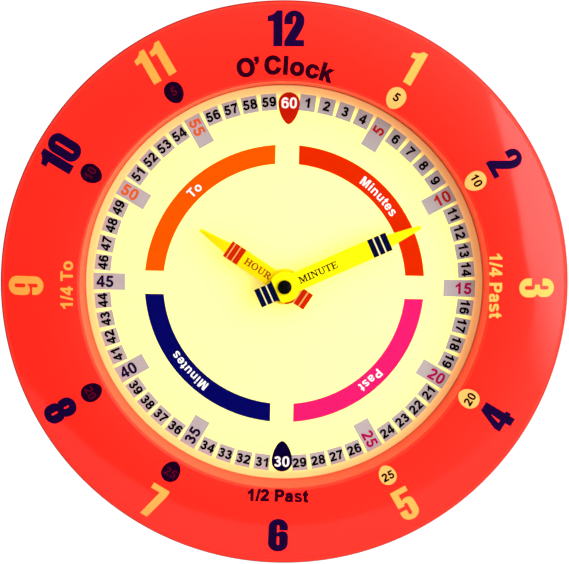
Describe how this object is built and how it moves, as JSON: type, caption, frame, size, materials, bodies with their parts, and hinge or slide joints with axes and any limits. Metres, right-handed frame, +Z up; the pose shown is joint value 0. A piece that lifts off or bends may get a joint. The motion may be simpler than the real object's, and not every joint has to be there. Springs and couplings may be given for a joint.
{
  "type": "teaching wall clock",
  "caption": "Round teaching wall clock with a wide glossy red rim, a recessed printed dial, pencil-shaped hands and a battery quartz movement behind.",
  "frame": {"origin": "on the axis of the hands, in the plane of the wall behind the rim", "axes": "X to the right and Z up as seen from the front; the dial faces -Y; the hands turn about Y"},
  "size_m": [0.3, 0.0382, 0.3],
  "materials": {
    "red_gloss": "glossy red moulding with printed numbers",
    "clear_lens": "clear",
    "dial_print": "pale yellow printed sheet",
    "black_plastic": "fine matte moulding",
    "white_plastic": "natural moulding",
    "steel": "plated",
    "brass": "turned",
    "copper": "enamelled copper wire",
    "rubber": "matte",
    "board": "coated laminate",
    "epoxy": "potting compound",
    "magnet": "bonded magnet",
    "cell": "printed sleeve",
    "yellow_hand": "satin yellow paint",
    "black_cap": "glossy"
  },
  "bodies": {
    "case": {"front_rim": "red_gloss", "clear_lens": "clear_lens", "dial_sheet": "dial_print", "back_plate": "black_plastic", "case_screws": "steel", "movement_case": "black_plastic", "movement_rear_cover": "black_plastic", "movement_bridge": "white_plastic", "centre_bush": "brass", "bush_nut": "brass", "nut_washer": "brass", "rubber_washer": "rubber", "stator": "steel", "coil_core": "steel", "coil_bobbin": "white_plastic", "coil_winding": "copper", "circuit_board": "board", "control_chip": "epoxy", "crystal_can": "steel", "positive_contact": "steel", "negative_contact": "steel", "battery_cell": "cell"},
    "minute": {"minute_arbor": "brass", "clutch_spring": "steel", "minute_hand": "yellow_hand", "hand_cap": "black_cap"},
    "hour": {"hour_wheel": "white_plastic", "hour_hand": "yellow_hand"},
    "setting": {"motion_wheel": "white_plastic", "setting_knob": "black_plastic"},
    "centre_gear": {"centre_wheel": "brass"},
    "third_gear": {"third_wheel": "white_plastic"},
    "second_gear": {"second_wheel": "white_plastic"},
    "intermediate_gear": {"intermediate_wheel": "white_plastic"},
    "rotor": {"rotor_pinion": "white_plastic", "rotor_magnet": "magnet"}
  },
  "joints": [
    {"name": "minute_turn", "type": "hinge", "parent": "case", "child": "minute", "pos_m": [0, -0.012, 0], "axis": [0, 1, 0], "continuous": true},
    {"name": "hour_turn", "type": "hinge", "parent": "case", "child": "hour", "pos_m": [0, -0.012, 0], "axis": [0, 1, 0], "continuous": true},
    {"name": "setting_turn", "type": "hinge", "parent": "case", "child": "setting", "pos_m": [0.0132, -0.012, 0], "axis": [0, 1, 0], "continuous": true},
    {"name": "second_turn", "type": "hinge", "parent": "case", "child": "second_gear", "pos_m": [-0.00821, -0.012, 0.0158], "axis": [0, 1, 0], "continuous": true},
    {"name": "intermediate_turn", "type": "hinge", "parent": "case", "child": "intermediate_gear", "pos_m": [0.00079, -0.012, 0.0158], "axis": [0, 1, 0], "continuous": true},
    {"name": "rotor_turn", "type": "hinge", "parent": "case", "child": "rotor", "pos_m": [0.00769, -0.012, 0.01459], "axis": [0, 1, 0], "continuous": true},
    {"name": "third_turn", "type": "hinge", "parent": "case", "child": "third_gear", "pos_m": [-0.00998, -0.012, 0.00576], "axis": [0, 1, 0], "continuous": true},
    {"name": "centre_turn", "type": "hinge", "parent": "case", "child": "centre_gear", "pos_m": [0, -0.012, 0], "axis": [0, 1, 0], "continuous": true}
  ],
  "couplings": [
    {"joint": "hour_turn", "follows": "minute_turn", "ratio": 0.083333},
    {"joint": "setting_turn", "follows": "minute_turn", "ratio": -0.33333},
    {"joint": "intermediate_turn", "follows": "second_turn", "ratio": -5},
    {"joint": "rotor_turn", "follows": "second_turn", "ratio": 30},
    {"joint": "third_turn", "follows": "second_turn", "ratio": -0.13333},
    {"joint": "centre_turn", "follows": "second_turn", "ratio": 0.016667}
  ]
}
